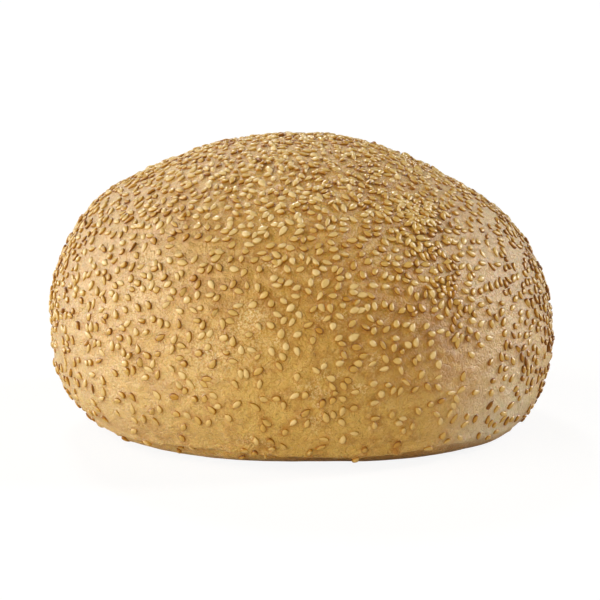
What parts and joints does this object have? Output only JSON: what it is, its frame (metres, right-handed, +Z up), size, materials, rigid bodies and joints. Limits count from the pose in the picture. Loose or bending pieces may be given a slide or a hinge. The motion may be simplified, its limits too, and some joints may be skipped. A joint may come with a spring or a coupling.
{
  "type": "bread roll",
  "caption": "Round domed bread roll with a golden brown crust thickly scattered with sesame seeds, resting on the small flat spot it was baked on.",
  "frame": {"origin": "centre of the bounding box at the flat base, on the surface the roll rests on", "axes": "+Z up, front towards -Y, +X to the right seen from the front"},
  "size_m": [0.1242, 0.1248, 0.071],
  "materials": {
    "crust": "matte",
    "sesame": "matte"
  },
  "bodies": {
    "root": {"bread_roll": "crust"}
  },
  "joints": []
}
